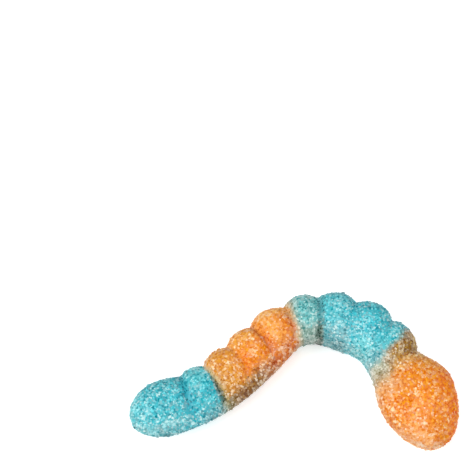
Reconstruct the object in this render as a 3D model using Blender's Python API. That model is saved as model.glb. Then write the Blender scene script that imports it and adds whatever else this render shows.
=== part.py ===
"""Sugar-coated gummy worm lying on its side in a loose bend.

One solid: a starch-moulded worm with a smooth tail, eight ringed lobes, a waist and an
egg-shaped head, all of it coated with coarse sugar. It was cast lying in an open mould, so
one side is a low arch with creases (the ridge) and the other is nearly flat (the back).
It now rests on a side wall, with the ridge on the outside of the bend and the back inside.
Metres, +Z up, origin on the floor under the middle of the worm's box.
"""

import math

import bmesh
import bpy
import numpy as np
from mathutils import Matrix
from mathutils import Vector

MM = 0.001
NODE_NAME = "gummy_worm"

# Plan of the middle line from the tip of the tail to the tip of the head, x and y in mm
SPINE_MM = [
    (-32.4, -8.5), (-25.8, -5.7), (-17.5, -2.5), (-9.8, 3.1), (-2.7, 10.0), (4.1, 12.8),
    (11.2, 11.7), (17.9, 6.8), (22.6, -1.3), (25.9, -8.0), (28.8, -13.2),
]

# Every table below gives a size at a distance along the middle line, both in mm
RIDGE_REACH_MM = [
    (0, 5.3), (12, 5.5), (18.5, 5.4), (25, 5.7), (31.5, 5.4), (38, 4.8), (44, 5.0),
    (50.5, 5.2), (57, 5.4), (63, 5.2), (67, 6.7), (72, 6.5), (83, 7.0),
]
BACK_REACH_MM = [
    (0, 4.3), (8, 4.8), (14, 4.6), (26, 4.5), (34, 4.5), (38.5, 3.9), (44, 4.3), (49.5, 4.9),
    (53.5, 4.6), (57, 4.7), (60, 5.3), (63, 5.7), (66, 6.6), (70, 7.3), (74, 7.1), (83, 6.3),
]
HALF_WIDTH_MM = [
    (0, 5.4), (12.5, 5.4), (26, 5.3), (38, 5.2), (45, 5.2), (51, 5.3), (58.5, 5.5),
    (63.5, 5.6), (71, 6.6), (83, 6.6),
]

# How far the ridge is turned up out of the floor's plane, in degrees
ROLL_DEG = [
    (0, 35), (12, 33), (20, 26), (28, 20), (36, 14), (44, 7), (52, 4), (60, 5), (70, 8), (83, 8),
]

# The creases between the tail, the lobes and the head, and how far each arch rises at its
# middle above its two creases: the tail first, then eight lobes, then the head
CREASES_MM = [12.0, 18.5, 25.0, 31.5, 38.0, 44.0, 50.5, 57.0, 63.0]
ARCH_RISE_MM = [0.7, 0.8, 1.2, 0.9, 1.2, 1.2, 1.3, 1.5, 1.4, 1.6]
TAIL_ARCH_START_MM = -11.0
HEAD_ARCH_END_MM = 82.0
CREASE_SOFTNESS_MM = 0.22
# Where it crosses the ridge, a crease lies this far nearer to the head than on the side walls,
# and all the way round it wavers a little
RIDGE_LEAN_MM = [
    (0, 0.0), (12, 0.1), (18.5, 0.1), (25, 0.45), (31.5, 0.5), (38, 0.3), (44, -0.1),
    (50.5, -0.7), (57, -0.9), (63, -0.55), (83, 0.0),
]
CREASE_WAVE_MM = 0.15

# Superellipse powers of the section: round on the ridge side, square on the back
RIDGE_POWER = 2.2
BACK_POWER = 4.0
BACK_DISH_MM = 0.2
BACK_DISH_SHARE = 0.8
# The arches fade out round the side walls, between these two cosines of the section angle
ARCH_FADE = (-0.5, 0.45)
ARCH_SIDE_SHARE = 0.7

# Rounded ends: the length, and the two powers of the end's outline
TAIL_END_MM = 8.5
TAIL_END_POWERS = (2.2, 2.05)
HEAD_END_MM = 12.0
HEAD_END_POWERS = (2.3, 2.1)

# The soft worm has settled on its lower side wall by this much, which leaves a flat strip
SETTLED_MM = 0.25

# Mesh spacing of about 0.8 mm, the size of the sugar's bumps
SIDES = 44
TAIL_RINGS = 13
FIRST_CREASE_RINGS = 4
LOBE_RINGS = 7
NECK_RINGS = 7
HEAD_RINGS = 18
SECTION_STEPS = 720
SPINE_STEPS = 1600

# Sugar: most grains are bumps on the skin, and the coarsest are whole crystals half sunk in it
SUGAR_SEED = 5
BUMP_SHARE = 0.36
BUMP_RISE_MM = (0.18, 0.38)
SKIN_LEVEL_MM = (-0.16, -0.02)
FULL_BUMP_SPACING_MM = 0.8
CRYSTAL_COUNT = 84
CRYSTAL_SIZE_MM = (0.6, 1.0)
CRYSTAL_CORNER_JITTER = 0.22
CRYSTAL_SPACING_MM = 3.5
CRYSTAL_FLOOR_GAP_MM = 1.5
CRYSTAL_PROUD_SHARE = -0.1

BLUE = (0.03, 0.42, 0.56, 1.0)
ORANGE = (0.93, 0.25, 0.03, 1.0)
SUGAR = (0.86, 0.84, 0.80, 1.0)
GUMMY_ROUGHNESS = 0.45
SUGAR_ROUGHNESS = 0.25
BLUE_STRETCHES_MM = [(0.0, 18.5), (38.0, 60.0)]


def clear_scene():
    for old in list(bpy.data.objects):
        bpy.data.objects.remove(old, do_unlink=True)


def natural_spline(x, y, at):
    """Smooth curve through the points (x, y) with free ends, read at the places in at."""
    x = np.asarray(x, dtype=float)
    y = np.asarray(y, dtype=float)
    step = np.diff(x)
    count = len(x)
    matrix = np.eye(count)
    right = np.zeros(y.shape)
    for i in range(1, count - 1):
        matrix[i, i - 1] = step[i - 1]
        matrix[i, i] = 2.0 * (step[i - 1] + step[i])
        matrix[i, i + 1] = step[i]
        right[i] = 6.0 * ((y[i + 1] - y[i]) / step[i] - (y[i] - y[i - 1]) / step[i - 1])
    bend = np.linalg.solve(matrix, right)
    at = np.asarray(at, dtype=float)
    k = np.clip(np.searchsorted(x, at) - 1, 0, count - 2)
    width = step[k]
    before = (x[k + 1] - at) / width
    after = (at - x[k]) / width
    if y.ndim == 2:
        width = width[:, None]
        before = before[:, None]
        after = after[:, None]
    curved = (before ** 3 - before) * bend[k] + (after ** 3 - after) * bend[k + 1]
    return before * y[k] + after * y[k + 1] + curved * width ** 2 / 6.0


def along(table, s):
    """A size from one of the tables, at the distances s."""
    rows = np.array(table, dtype=float)
    return natural_spline(rows[:, 0], rows[:, 1], s)


def smooth_step(low, high, value):
    t = np.clip((value - low) / (high - low), 0.0, 1.0)
    return t * t * (3.0 - 2.0 * t)


def running_length(points):
    return np.concatenate([[0.0], np.cumsum(np.linalg.norm(np.diff(points, axis=0), axis=1))])


def middle_line():
    """Distances along the middle line, with its plan points and plan directions there."""
    stations = np.array(SPINE_MM)
    chords = running_length(stations)
    plan = natural_spline(chords, stations, np.linspace(0.0, chords[-1], SPINE_STEPS))
    s = running_length(plan)
    return s, plan, np.gradient(plan, s, axis=0)


def ring_places(length):
    """Distances of the rings: close together on the rounded ends, and one on each crease."""
    places = []
    for k in range(1, TAIL_RINGS + 1):
        places.append(TAIL_END_MM * (1.0 - math.cos(0.5 * math.pi * k / TAIL_RINGS)))
    stretches = [(TAIL_END_MM, CREASES_MM[0], FIRST_CREASE_RINGS)]
    for start, end in zip(CREASES_MM[:-1], CREASES_MM[1:]):
        stretches.append((start, end, LOBE_RINGS))
    stretches.append((CREASES_MM[-1], length - HEAD_END_MM, NECK_RINGS))
    for start, end, count in stretches:
        for k in range(1, count + 1):
            places.append(start + (end - start) * k / count)
    for k in range(1, HEAD_RINGS):
        places.append(length - HEAD_END_MM * (1.0 - math.sin(0.5 * math.pi * k / HEAD_RINGS)))
    return np.array(places)


def arch_rise(s):
    """Rise of the lobes over their creases: one arch for each, joined by a soft maximum."""
    edges = [TAIL_ARCH_START_MM] + CREASES_MM + [HEAD_ARCH_END_MM]
    total = np.zeros(len(s))
    for start, end, rise in zip(edges[:-1], edges[1:], ARCH_RISE_MM):
        middle = (start + end) / 2.0
        half = (end - start) / 2.0
        arch = rise * (1.0 - ((s - middle) / half) ** 2)
        total += np.exp(np.clip(arch / CREASE_SOFTNESS_MM, -60.0, 60.0))
    return CREASE_SOFTNESS_MM * np.log(total)


def crease_shift(place, angle):
    """How far back along the worm the place lies whose lobe shows here."""
    lean = along(RIDGE_LEAN_MM, [place])[0] * ((1.0 + np.cos(angle)) / 2.0) ** 2
    return CREASE_WAVE_MM * np.sin(2.0 * angle + 0.9 * place) - lean


def end_round(distance, length, powers):
    """Share of the full section left at a distance from a rounded tip."""
    inward = np.clip(1.0 - distance / length, 0.0, 1.0)
    return (1.0 - inward ** powers[0]) ** (1.0 / powers[1])


def rings_of_worm():
    """Every ring's points in mm, evenly spaced round it, and the middle of each ring."""
    line_s, line_plan, line_way = middle_line()
    length = line_s[-1]
    places = ring_places(length)
    ridge = along(RIDGE_REACH_MM, places)
    back = along(BACK_REACH_MM, places)
    half_width = along(HALF_WIDTH_MM, places)
    roll = np.radians(along(ROLL_DEG, places))
    tail_share = end_round(places, TAIL_END_MM, TAIL_END_POWERS)
    head_share = end_round(length - places, HEAD_END_MM, HEAD_END_POWERS)
    end_share = np.minimum(tail_share, head_share)

    angle = np.linspace(0.0, 2.0 * math.pi, SECTION_STEPS, endpoint=False)
    cosine = np.cos(angle)
    sine = np.sin(angle)
    on_ridge = cosine > 0.0
    power = np.where(on_ridge, RIDGE_POWER, BACK_POWER)
    unit_out = np.sign(cosine) * np.abs(cosine) ** (2.0 / power)
    unit_up = np.sign(sine) * np.abs(sine) ** (2.0 / power)
    fade = smooth_step(ARCH_FADE[0], ARCH_FADE[1], cosine)
    dish = BACK_DISH_MM * np.clip(1.0 - (sine / BACK_DISH_SHARE) ** 2, 0.0, 1.0)
    dish[on_ridge] = 0.0

    rings = []
    centres = []
    for i, place in enumerate(places):
        plain_out = np.where(on_ridge, ridge[i], back[i]) * unit_out
        plain_up = half_width[i] * unit_up
        rise = arch_rise(place + crease_shift(place, angle))
        out = plain_out + rise * fade * np.maximum(unit_out, 0.0) + dish
        up = plain_up + ARCH_SIDE_SHARE * rise * fade * unit_up
        lowest = np.min(plain_out * math.sin(roll[i]) + plain_up * math.cos(roll[i]))
        middle = [np.interp(place, line_s, line_plan[:, axis]) for axis in (0, 1)]
        way = np.array([np.interp(place, line_s, line_way[:, axis]) for axis in (0, 1)])
        way /= np.linalg.norm(way)
        outer = np.array([-way[1], way[0], 0.0])
        upright = np.array([0.0, 0.0, 1.0])
        to_ridge = math.cos(roll[i]) * outer + math.sin(roll[i]) * upright
        to_side = -math.sin(roll[i]) * outer + math.cos(roll[i]) * upright
        centre = np.array([middle[0], middle[1], -lowest - SETTLED_MM])
        section = end_share[i] * (out[:, None] * to_ridge + up[:, None] * to_side)
        closed = np.vstack([section, section[:1]])
        walk = running_length(closed)
        stagger = 0.5 * (i % 2)
        targets = walk[-1] * (np.arange(SIDES) + stagger) / SIDES
        even = np.stack([np.interp(targets, walk, closed[:, axis]) for axis in range(3)], axis=1)
        rings.append(centre + even)
        centres.append(centre)
    return np.array(rings), np.array(centres), places, length


def sugar_bumps(rings, centres):
    """Raise a share of the points as grains of sugar and leave the rest near the skin."""
    rng = np.random.RandomState(SUGAR_SEED)
    shape = rings.shape[:2]
    grain = rng.uniform(size=shape) < BUMP_SHARE
    rise = np.where(
        grain,
        rng.uniform(BUMP_RISE_MM[0], BUMP_RISE_MM[1], size=shape),
        rng.uniform(SKIN_LEVEL_MM[0], SKIN_LEVEL_MM[1], size=shape),
    )
    outward = rings - centres[:, None, :]
    reach = np.linalg.norm(outward, axis=2)
    spacing = 2.0 * math.pi * reach / SIDES
    rise = rise * np.clip(spacing / FULL_BUMP_SPACING_MM, 0.0, 1.0)
    return rings + outward / reach[:, :, None] * rise[:, :, None]


def worm_mesh(rings, tips):
    """Skin of staggered triangles over the rings, closed by a fan at each tip."""
    count = len(rings)
    points = rings.reshape(-1, 3)
    tail_tip = count * SIDES
    head_tip = tail_tip + 1
    points = np.vstack([points, tips])
    points[:, 2] = np.maximum(points[:, 2], 0.0)
    faces = []
    for i in range(count - 1):
        low = i * SIDES
        high = (i + 1) * SIDES
        for j in range(SIDES):
            k = (j + 1) % SIDES
            if i % 2 == 0:
                faces.append((low + j, low + k, high + j))
                faces.append((low + k, high + k, high + j))
            else:
                faces.append((low + j, high + k, high + j))
                faces.append((low + j, low + k, high + k))
    last = (count - 1) * SIDES
    for j in range(SIDES):
        k = (j + 1) % SIDES
        faces.append((tail_tip, k, j))
        faces.append((head_tip, last + j, last + k))
    mesh = bpy.data.meshes.new(NODE_NAME)
    mesh.from_pydata([tuple(point * MM) for point in points], [], faces)
    mesh.update()
    return mesh


def face_outwards(mesh):
    shell = bmesh.new()
    shell.from_mesh(mesh)
    bmesh.ops.recalc_face_normals(shell, faces=shell.faces)
    shell.to_mesh(mesh)
    shell.free()


def gummy_material(name, colour, roughness):
    material = bpy.data.materials.new(name)
    material.use_nodes = True
    surface = material.node_tree.nodes["Principled BSDF"]
    surface.inputs["Base Color"].default_value = colour
    surface.inputs["Roughness"].default_value = roughness
    surface.inputs["Metallic"].default_value = 0.0
    material.diffuse_color = colour
    return material


def is_blue(place):
    return any(start <= place <= end for start, end in BLUE_STRETCHES_MM)


def colour_the_bands(mesh, places):
    """The two pourings of the mould: blue and orange stretches along the worm."""
    for face in mesh.polygons:
        ring = min(min(face.vertices) // SIDES, len(places) - 1)
        face.material_index = 0 if is_blue(places[ring]) else 1


def crystal_spots(mesh):
    """Spots for the coarse crystals, kept apart, and clear of the floor."""
    rng = np.random.RandomState(SUGAR_SEED + 1)
    middles = np.array([tuple(face.center) for face in mesh.polygons]) / MM
    normals = np.array([tuple(face.normal) for face in mesh.polygons])
    chosen = []
    for index in rng.permutation(len(middles)):
        if middles[index, 2] < CRYSTAL_FLOOR_GAP_MM:
            continue
        gaps = [np.linalg.norm(middles[index] - middles[other]) for other in chosen]
        if gaps and min(gaps) < CRYSTAL_SPACING_MM:
            continue
        chosen.append(index)
        if len(chosen) == CRYSTAL_COUNT:
            break
    return middles[chosen], normals[chosen]


def add_crystal(index, spot, normal, material, collection):
    """One blocky crystal with uneven corners, sunk in the skin by nearly half its height."""
    rng = np.random.RandomState(SUGAR_SEED + 100 + index)
    sides = rng.uniform(CRYSTAL_SIZE_MM[0], CRYSTAL_SIZE_MM[1], size=3)
    block = bmesh.new()
    bmesh.ops.create_cube(block, size=1.0)
    for corner in block.verts:
        for axis in range(3):
            jitter = 1.0 - rng.uniform(0.0, CRYSTAL_CORNER_JITTER)
            corner.co[axis] *= sides[axis] * jitter * MM
    bmesh.ops.triangulate(block, faces=block.faces)
    mesh = bpy.data.meshes.new(f"crystal_{index:03d}")
    block.to_mesh(mesh)
    block.free()
    mesh.materials.append(material)
    crystal = bpy.data.objects.new(mesh.name, mesh)
    lean = Matrix.Rotation(rng.uniform(0.0, 2.0 * math.pi), 4, Vector(rng.normal(size=3)).normalized())
    place = spot + normal * sides.min() * CRYSTAL_PROUD_SHARE
    crystal.matrix_world = Matrix.Translation(Vector(place) * MM) @ lean
    collection.objects.link(crystal)
    return crystal


def keep_outer_shell(mesh):
    """Leave only the largest shell, which fills sealed hollows and drops loose scraps."""
    body = bmesh.new()
    body.from_mesh(mesh)
    unseen = set(body.verts)
    shells = []
    while unseen:
        shell = set()
        queue = [unseen.pop()]
        while queue:
            vertex = queue.pop()
            shell.add(vertex)
            for edge in vertex.link_edges:
                other = edge.other_vert(vertex)
                if other in unseen:
                    unseen.remove(other)
                    queue.append(other)
        shells.append(shell)
    shells.sort(key=len)
    for shell in shells[:-1]:
        bmesh.ops.delete(body, geom=list(shell), context="VERTS")
    body.to_mesh(mesh)
    body.free()


def set_on_origin(mesh):
    """Move the mesh so that its box is centred over the origin and stands on the floor."""
    points = np.array([tuple(vertex.co) for vertex in mesh.vertices])
    low = points.min(axis=0)
    high = points.max(axis=0)
    shift = Vector((-(low[0] + high[0]) / 2.0, -(low[1] + high[1]) / 2.0, -low[2]))
    mesh.transform(Matrix.Translation(shift))


def build_worm():
    clear_scene()
    rings, centres, places, length = rings_of_worm()
    line_s, line_plan, _ = middle_line()
    tips = np.array([
        [line_plan[0][0], line_plan[0][1], centres[0][2]],
        [line_plan[-1][0], line_plan[-1][1], centres[-1][2]],
    ])
    mesh = worm_mesh(sugar_bumps(rings, centres), tips)
    face_outwards(mesh)
    mesh.materials.append(gummy_material("gummy_blue", BLUE, GUMMY_ROUGHNESS))
    mesh.materials.append(gummy_material("gummy_orange", ORANGE, GUMMY_ROUGHNESS))
    sugar = gummy_material("sugar_crystal", SUGAR, SUGAR_ROUGHNESS)
    mesh.materials.append(sugar)
    colour_the_bands(mesh, places)
    worm = bpy.data.objects.new(NODE_NAME, mesh)
    bpy.context.scene.collection.objects.link(worm)

    crystals = bpy.data.collections.new("crystals")
    bpy.context.scene.collection.children.link(crystals)
    spots, normals = crystal_spots(mesh)
    for index, (spot, normal) in enumerate(zip(spots, normals)):
        add_crystal(index, spot, normal, sugar, crystals)

    union = worm.modifiers.new("crystals", "BOOLEAN")
    union.operation = "UNION"
    union.operand_type = "COLLECTION"
    union.collection = crystals
    union.solver = "EXACT"
    bpy.context.view_layer.objects.active = worm
    bpy.ops.object.modifier_apply(modifier=union.name)
    for crystal in list(crystals.objects):
        bpy.data.objects.remove(crystal, do_unlink=True)
    bpy.data.collections.remove(crystals)

    keep_outer_shell(worm.data)
    set_on_origin(worm.data)
    return worm


build_worm()
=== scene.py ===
import math

import bmesh
import bpy
import numpy as np
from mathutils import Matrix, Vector, noise
from mathutils.kdtree import KDTree


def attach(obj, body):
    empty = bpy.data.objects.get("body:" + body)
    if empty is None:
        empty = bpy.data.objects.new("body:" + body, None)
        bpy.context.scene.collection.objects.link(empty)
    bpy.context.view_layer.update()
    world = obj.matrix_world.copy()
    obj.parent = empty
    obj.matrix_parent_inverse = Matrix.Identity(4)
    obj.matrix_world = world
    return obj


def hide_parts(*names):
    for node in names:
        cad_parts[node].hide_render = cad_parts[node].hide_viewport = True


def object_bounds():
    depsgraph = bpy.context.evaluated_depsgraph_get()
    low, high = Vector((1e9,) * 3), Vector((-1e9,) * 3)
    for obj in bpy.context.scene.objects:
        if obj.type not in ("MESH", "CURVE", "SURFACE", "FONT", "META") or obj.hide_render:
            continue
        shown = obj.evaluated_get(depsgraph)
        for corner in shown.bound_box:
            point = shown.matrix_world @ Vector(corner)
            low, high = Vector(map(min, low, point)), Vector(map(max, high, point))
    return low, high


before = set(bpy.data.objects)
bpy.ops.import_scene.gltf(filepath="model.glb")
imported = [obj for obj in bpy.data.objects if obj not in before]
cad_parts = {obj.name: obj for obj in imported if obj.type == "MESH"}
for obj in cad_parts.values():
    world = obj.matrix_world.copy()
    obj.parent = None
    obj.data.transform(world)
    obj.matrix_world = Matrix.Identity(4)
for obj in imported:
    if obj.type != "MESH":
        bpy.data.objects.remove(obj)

cad_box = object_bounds()

# THE CAST GUMMY
# A soft gelatine sweet, cast lying in an open starch mould in two pourings, blue and orange.
# The ridge with its lobes lay at the bottom of the mould and the flat back was its open top.
# It has been taken out, bent, and laid on its side, with the ridge outside the bend.
MM = 0.001
WORM_NODE = "gummy_worm"

# Plan of the middle line from the tip of the tail to the tip of the head, and the move that
# sets the worm's box over the origin
SPINE_MM = [
    (-32.4, -8.5), (-25.8, -5.7), (-17.5, -2.5), (-9.8, 3.1), (-2.7, 10.0), (4.1, 12.8),
    (11.2, 11.7), (17.9, 6.8), (22.6, -1.3), (25.9, -8.0), (28.8, -13.2),
]
SPINE_SHIFT_MM = (0.23, -2.58)
SPINE_STEPS = 1600

# Sizes at a distance along the middle line, all in mm, and the turn of the ridge in degrees
RIDGE_REACH_MM = [
    (0, 5.3), (12, 5.5), (18.5, 5.4), (25, 5.7), (31.5, 5.4), (38, 4.8), (44, 5.0),
    (50.5, 5.2), (57, 5.4), (63, 5.2), (67, 6.7), (72, 6.5), (83, 7.0),
]
BACK_REACH_MM = [
    (0, 4.3), (8, 4.8), (14, 4.6), (26, 4.5), (34, 4.5), (38.5, 3.9), (44, 4.3), (49.5, 4.9),
    (53.5, 4.6), (57, 4.7), (60, 5.3), (63, 5.7), (66, 6.6), (70, 7.3), (74, 7.1), (83, 6.3),
]
HALF_WIDTH_MM = [
    (0, 5.4), (12.5, 5.4), (26, 5.3), (38, 5.2), (45, 5.2), (51, 5.3), (58.5, 5.5),
    (63.5, 5.6), (71, 6.6), (83, 6.6),
]
ROLL_DEG = [
    (0, 35), (12, 33), (20, 26), (28, 20), (36, 14), (44, 7), (52, 4), (60, 5), (70, 8), (83, 8),
]
# The creases between the tail, the lobes and the head, and how far each arch rises at its
# middle above its two creases: the tail first, then eight lobes, then the head
CREASES_MM = [12.0, 18.1, 25.0, 31.5, 38.0, 44.0, 50.5, 57.0, 63.0]
ARCH_RISE_MM = [0.7, 0.8, 1.2, 0.9, 1.2, 1.2, 1.3, 1.5, 1.4, 1.6]
TAIL_ARCH_START_MM = -11.0
HEAD_ARCH_END_MM = 82.0
CREASE_SOFTNESS_MM = 0.16
# The lobes are joined by powers of e, which are kept within this exponent
MOST_EXPONENT = 60.0
# The depth of the fold at each crease, and how far round from the ridge it runs
FOLD_DEPTH_MM = [0.5, 0.45, 0.15, 0.6, 0.5, 0.5, 0.25, 0.25, 0.25]
FOLD_REACH_DEG = [95, 100, 100, 105, 110, 150, 100, 95, 95]
FOLD_HALF_WIDTH_MM = [0.8, 0.4, 0.9, 0.75, 0.5, 0.5, 0.8, 0.6, 0.5]
FOLD_FADE_DEG = 22.0
# Here and there round the worm a fold is shallower, by up to twice this share of its depth
FOLD_UNEVEN = 0.3
# Over the ridge itself the lobes part, and each fold is only this share as deep
RIDGE_FOLD_SHARE = [1.0, 0.7, 0.8, 0.7, 0.3, 0.1, 0.0, 0.1, 0.6]
RIDGE_FOLD_DEG = (15.0, 55.0)
# Where the open top of the mould was, the gel crept up its wall and left a low rim at the tail
RIM_RISE_MM = 0.3
RIM_DEG = 94.0
RIM_WIDTH_DEG = 4.5
RIM_FADES_MM = (8.0, 15.0)
# Where it crosses the ridge, a crease lies this far nearer to the head than on the side walls,
# and all the way round it wavers a little
RIDGE_LEAN_MM = [
    (0, 0.0), (12, 0.1), (18.5, 0.1), (25, 0.45), (31.5, 0.5), (38, 0.3), (44, -0.1),
    (50.5, -0.7), (57, -0.9), (63, -0.55), (83, 0.0),
]
CREASE_WAVE_MM = 0.15
# The waver moves on round the worm by this much, in radians, for each mm along it
CREASE_WAVE_DRIFT = 0.9
# Towards the back the creases run the other way, nearer to the tail by this much
BACK_LEAN_MM = [
    (0, 0.3), (12, 0.6), (18.5, 0.9), (25, 1.6), (31.5, 2.3), (38, 1.4), (44, 0.8),
    (50.5, 0.0), (57, 0.0), (63, 0.0), (83, 0.0),
]
BACK_LEAN_DEG = (60.0, 130.0)
# Superellipse powers of the section: round on the ridge side, square and dished on the back
RIDGE_POWER = 2.2
BACK_POWER = 4.0
BACK_DISH_MM = 0.2
BACK_DISH_SHARE = 0.8
# The lobes fade out round the side walls, between these two cosines of the section angle
ARCH_FADE = (-0.5, 0.45)
ARCH_SIDE_SHARE = 0.7
# Rounded ends: the length, and the two powers of the end's outline
TAIL_END_MM = 8.5
TAIL_END_POWERS = (2.2, 2.05)
HEAD_END_MM = 12.0
HEAD_END_POWERS = (2.3, 2.1)
# The soft worm has settled on its lower side wall by this much
SETTLED_MM = 0.25
# The gelatine itself lies a little under the outside of the sugar
COAT_MM = 0.2
FLOOR_GAP_MM = 0.05

# The mesh is fine enough for the folds: points round each ring, and rings for each stretch
GUMMY_SIDES = 72
TAIL_RINGS = 26
LOBE_RING_MM = 0.42
HEAD_RINGS = 34


def natural_spline(x, y, at):
    """Smooth curve through the points (x, y) with free ends, read at the places in at."""
    x = np.asarray(x, dtype=float)
    y = np.asarray(y, dtype=float)
    step = np.diff(x)
    count = len(x)
    matrix = np.eye(count)
    right = np.zeros(y.shape)
    for i in range(1, count - 1):
        matrix[i, i - 1] = step[i - 1]
        matrix[i, i] = 2.0 * (step[i - 1] + step[i])
        matrix[i, i + 1] = step[i]
        right[i] = 6.0 * ((y[i + 1] - y[i]) / step[i] - (y[i] - y[i - 1]) / step[i - 1])
    bend = np.linalg.solve(matrix, right)
    k = np.clip(np.searchsorted(x, at) - 1, 0, count - 2)
    width = step[k]
    before = (x[k + 1] - at) / width
    after = (at - x[k]) / width
    if y.ndim == 2:
        width = width[:, None]
        before = before[:, None]
        after = after[:, None]
    curved = (before ** 3 - before) * bend[k] + (after ** 3 - after) * bend[k + 1]
    return before * y[k] + after * y[k + 1] + curved * width ** 2 / 6.0


def along(table, s):
    """A size read from its table at distances s along the worm."""
    rows = np.array(table, dtype=float)
    return natural_spline(rows[:, 0], rows[:, 1], s)


def running_length(points):
    """The length run so far at each point of a line."""
    return np.concatenate([[0.0], np.cumsum(np.linalg.norm(np.diff(points, axis=0), axis=1))])


spine_stations = np.array(SPINE_MM)
spine_chords = running_length(spine_stations)
spine_steps = np.linspace(0.0, spine_chords[-1], SPINE_STEPS)
spine_plan = natural_spline(spine_chords, spine_stations, spine_steps)
spine_s = running_length(spine_plan)
spine_way = np.gradient(spine_plan, spine_s, axis=0)
worm_length = spine_s[-1]


def smooth_step(low, high, value):
    """A share that goes softly from 0 at the low value to 1 at the high one."""
    t = np.clip((value - low) / (high - low), 0.0, 1.0)
    return t * t * (3.0 - 2.0 * t)


def turn_from_ridge(angle):
    """Degrees round from the ridge, either way: 0 on it, 90 on a side wall, 180 on the back."""
    return np.degrees(np.arccos(np.clip(np.cos(angle), -1.0, 1.0)))


def crease_shift(s, angle):
    """How much nearer to the head the place lies whose lobe shows here."""
    ridge_lean = along(RIDGE_LEAN_MM, s) * ((1.0 + np.cos(angle)) / 2.0) ** 2
    back_lean = along(BACK_LEAN_MM, s) * smooth_step(*BACK_LEAN_DEG, turn_from_ridge(angle))
    return CREASE_WAVE_MM * np.sin(2.0 * angle + CREASE_WAVE_DRIFT * s) - ridge_lean + back_lean


def arch_rise(s):
    """Rise of the lobes over their creases: one arch for each, joined by a soft maximum."""
    edges = [TAIL_ARCH_START_MM] + CREASES_MM + [HEAD_ARCH_END_MM]
    total = np.zeros(np.shape(s))
    for start, end, rise in zip(edges[:-1], edges[1:], ARCH_RISE_MM):
        middle = (start + end) / 2.0
        half = (end - start) / 2.0
        arch = rise * (1.0 - ((s - middle) / half) ** 2)
        total += np.exp(np.clip(arch / CREASE_SOFTNESS_MM, -MOST_EXPONENT, MOST_EXPONENT))
    return CREASE_SOFTNESS_MM * np.log(total)


def fold_depth(s, angle):
    """Depth of the narrow folds at the creases, where the soft lobes press on each other."""
    turn = turn_from_ridge(angle)
    depth = np.zeros(np.shape(s))
    s = s + crease_shift(s, angle)
    off_ridge = smooth_step(*RIDGE_FOLD_DEG, turn)
    folds = zip(CREASES_MM, FOLD_DEPTH_MM, FOLD_REACH_DEG, RIDGE_FOLD_SHARE, FOLD_HALF_WIDTH_MM)
    for crease, deepest, reach, share, half_width in folds:
        closed = share + (1.0 - share) * off_ridge
        fade = 1.0 - smooth_step(reach - FOLD_FADE_DEG, reach + FOLD_FADE_DEG, turn)
        uneven = 1.0 - FOLD_UNEVEN + FOLD_UNEVEN * np.sin(3.0 * angle + crease)
        depth += deepest * uneven * closed * fade * np.exp(-((s - crease) / half_width) ** 2)
    return depth


def rim_share(s, angle):
    """How much of the tail's rim stands at these places, from 0 to 1."""
    along_tail = 1.0 - smooth_step(*RIM_FADES_MM, s)
    return along_tail * np.exp(-((turn_from_ridge(angle) - RIM_DEG) / RIM_WIDTH_DEG) ** 2)


def end_round(distance, length, powers):
    """How wide a round end is at a distance from its tip, as a share of the full section."""
    inward = np.clip(1.0 - distance / length, 0.0, 1.0)
    return (1.0 - inward ** powers[0]) ** (1.0 / powers[1])


def section_at(angle, ridge, back, half_width):
    """Plain section without lobes: how far out to the ridge, and how far up the side wall."""
    cosine = np.cos(angle)
    sine = np.sin(angle)
    power = np.where(cosine > 0.0, RIDGE_POWER, BACK_POWER)
    unit_out = np.sign(cosine) * np.abs(cosine) ** (2.0 / power)
    unit_up = np.sign(sine) * np.abs(sine) ** (2.0 / power)
    return np.where(cosine > 0.0, ridge, back) * unit_out, half_width * unit_up, unit_out, unit_up


# How far the lowest point of each plain section hangs under the middle line once it is rolled
SECTION_STEPS = 360
section_angles = np.linspace(0.0, 2.0 * math.pi, SECTION_STEPS, endpoint=False)
rest_ridge = along(RIDGE_REACH_MM, spine_s)
rest_back = along(BACK_REACH_MM, spine_s)
rest_half = along(HALF_WIDTH_MM, spine_s)
rest_roll = np.radians(along(ROLL_DEG, spine_s))
rest_out, rest_up, _, _ = section_at(
    section_angles[None, :], rest_ridge[:, None], rest_back[:, None], rest_half[:, None]
)
rest_height = rest_out * np.sin(rest_roll)[:, None] + rest_up * np.cos(rest_roll)[:, None]
spine_low = np.min(rest_height, axis=1)


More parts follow.
